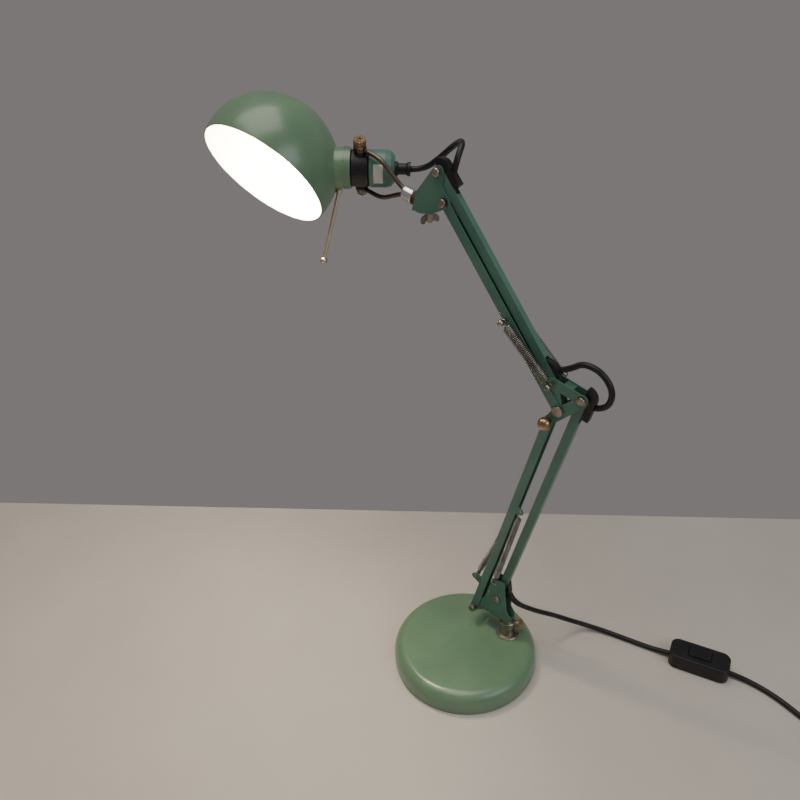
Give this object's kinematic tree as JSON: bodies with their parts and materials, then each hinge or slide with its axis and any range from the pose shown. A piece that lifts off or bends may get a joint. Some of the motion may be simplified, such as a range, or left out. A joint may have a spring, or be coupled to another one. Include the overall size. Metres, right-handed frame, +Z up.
{
  "type": "desk lamp",
  "caption": "Balanced-arm desk lamp: round weighted base, two parallelogram arms with springs, dome shade on a wire fork and a cord with an in-line switch.",
  "frame": {"origin": "on the table, on the swivel axis of the arm's socket", "axes": "+Z up, +X the way the arm reaches, the arms move in the plane y = 0"},
  "size_m": [0.648, 0.263, 0.5595],
  "materials": {
    "green": "satin",
    "pad": "matt",
    "iron": "rough",
    "nickel": "dark nickel",
    "brass": "antique",
    "chrome": "polished",
    "bronze": "bronzed",
    "fibre": "matt",
    "spring": "oiled",
    "black_plastic": "matt",
    "cord": "matt",
    "bulb": "frosted"
  },
  "bodies": {
    "base": {"base_cover": "green", "base_weight": "iron", "base_pad": "pad", "swivel_socket": "nickel", "socket_nut": "nickel", "cord_lead": "cord", "cord_coil": "cord", "plug_body": "black_plastic", "plug_pins": "brass", "switch_lower_shell": "black_plastic", "switch_upper_shell": "black_plastic"},
    "socket_screw": {"thumb_screw": "brass"},
    "switch_rocker": {"switch_rocker": "black_plastic"},
    "lower_bracket": {"lower_bracket": "green", "stem_pin": "nickel", "lower_pivot_pins": "nickel", "bracket_spring_pin": "nickel", "lower_springs": "spring"},
    "lower_rear_bar": {"lower_rear_bar": "green", "lower_cord_guide": "black_plastic", "knee_cord_guide": "black_plastic", "inner_cord_lower": "cord", "cord_tail": "cord"},
    "lower_front_bar": {"lower_front_bar": "green", "lower_spring_pin": "nickel"},
    "knee_bracket": {"knee_bracket": "green", "knee_rear_pin": "nickel", "knee_front_pin": "nickel", "knee_knob_bolt": "nickel", "knee_long_pin": "nickel", "upper_springs": "spring", "knee_cord_loop": "cord"},
    "knee_knob": {"knee_knob": "brass"},
    "upper_rear_bar": {"upper_rear_bar": "green", "upper_cord_guide": "black_plastic", "head_cord_guide": "black_plastic", "inner_cord_upper": "cord"},
    "upper_front_bar": {"upper_front_bar": "green", "upper_spring_pin": "nickel"},
    "head_bracket": {"head_bracket": "green", "head_pivot_pins": "nickel", "wing_screw": "nickel", "head_cord_loop": "cord"},
    "wing_nut": {"wing_nut": "nickel"},
    "yoke": {"yoke_fork": "bronze", "yoke_ferrule": "chrome", "friction_ring": "fibre", "yoke_lock_nut": "nickel"},
    "lampholder": {"holder_ring": "black_plastic", "holder_cap": "green", "holder_core": "black_plastic", "strain_relief": "black_plastic", "tilt_screws": "nickel", "tilt_washer": "chrome", "tilt_nut": "nickel", "shade": "green", "handle_rod": "brass", "bulb_cap": "brass", "bulb_globe": "bulb"},
    "tilt_knob": {"tilt_knob": "brass"}
  },
  "joints": [
    {"name": "swivel", "type": "hinge", "parent": "base", "child": "lower_bracket", "pos_m": [0, 0, 0.04], "axis": [0, 0, 1], "range_deg": [-90, 90], "deforming": ["cord_lead"]},
    {"name": "socket_screw_turn", "type": "hinge", "parent": "base", "child": "socket_screw", "pos_m": [-0.00971, -0.00705, 0.035], "axis": [-0.809, -0.5878, 0], "range_deg": [-180, 180]},
    {"name": "switch_press", "type": "hinge", "parent": "base", "child": "switch_rocker", "pos_m": [-0.17208, -0.09325, 0.014], "axis": [0.1701, -0.9854, 0], "range_deg": [-6, 6]},
    {"name": "lower_arm", "type": "hinge", "parent": "lower_bracket", "child": "lower_rear_bar", "pos_m": [0.0106, 0, 0.0691], "axis": [0, 1, 0], "range_deg": [-3, 50], "deforming": ["lower_springs", "cord_tail", "knee_cord_loop"]},
    {"name": "lower_front", "type": "hinge", "parent": "lower_bracket", "child": "lower_front_bar", "pos_m": [0.0382, 0, 0.0435], "axis": [0, 1, 0], "range_deg": [-3.2, 50.2]},
    {"name": "knee_level", "type": "hinge", "parent": "lower_rear_bar", "child": "knee_bracket", "pos_m": [-0.06589, 0, 0.3247], "axis": [0, 1, 0], "range_deg": [-50.2, 3.2]},
    {"name": "knee_knob_turn", "type": "hinge", "parent": "knee_bracket", "child": "knee_knob", "pos_m": [-0.03829, 0.013, 0.2991], "axis": [0, 1, 0], "range_deg": [-180, 180]},
    {"name": "upper_arm", "type": "hinge", "parent": "knee_bracket", "child": "upper_rear_bar", "pos_m": [-0.0402, 0, 0.334], "axis": [0, 1, 0], "range_deg": [-5, 70], "deforming": ["upper_springs", "head_cord_loop"]},
    {"name": "upper_front", "type": "hinge", "parent": "knee_bracket", "child": "upper_front_bar", "pos_m": [-0.0461, 0, 0.3103], "axis": [0, 1, 0], "range_deg": [-5.2, 70.2]},
    {"name": "head_level", "type": "hinge", "parent": "upper_rear_bar", "child": "head_bracket", "pos_m": [0.06963, 0, 0.4947], "axis": [0, 1, 0], "range_deg": [-70.2, 5.2]},
    {"name": "wing_nut_turn", "type": "hinge", "parent": "head_bracket", "child": "wing_nut", "pos_m": [0.0835, 0, 0.456], "axis": [0, 0, 1], "range_deg": [-180, 180]},
    {"name": "yoke_swivel", "type": "hinge", "parent": "head_bracket", "child": "yoke", "pos_m": [0.10424, 0, 0.47318], "axis": [0.9408, 0, 0.3389], "range_deg": [-45, 45]},
    {"name": "shade_tilt", "type": "hinge", "parent": "yoke", "child": "lampholder", "pos_m": [0.15787, 0, 0.4925], "axis": [-0.3217, 0.315, 0.8929], "range_deg": [-15, 40]},
    {"name": "tilt_knob_turn", "type": "hinge", "parent": "lampholder", "child": "tilt_knob", "pos_m": [0.14982, 0.00788, 0.51482], "axis": [-0.3217, 0.315, 0.8929], "range_deg": [-180, 180]}
  ],
  "couplings": [
    {"joint": "lower_front", "follows": "lower_arm", "ratio": 1},
    {"joint": "knee_level", "follows": "lower_arm", "ratio": -1},
    {"joint": "upper_front", "follows": "upper_arm", "ratio": 1},
    {"joint": "head_level", "follows": "upper_arm", "ratio": -1}
  ]
}
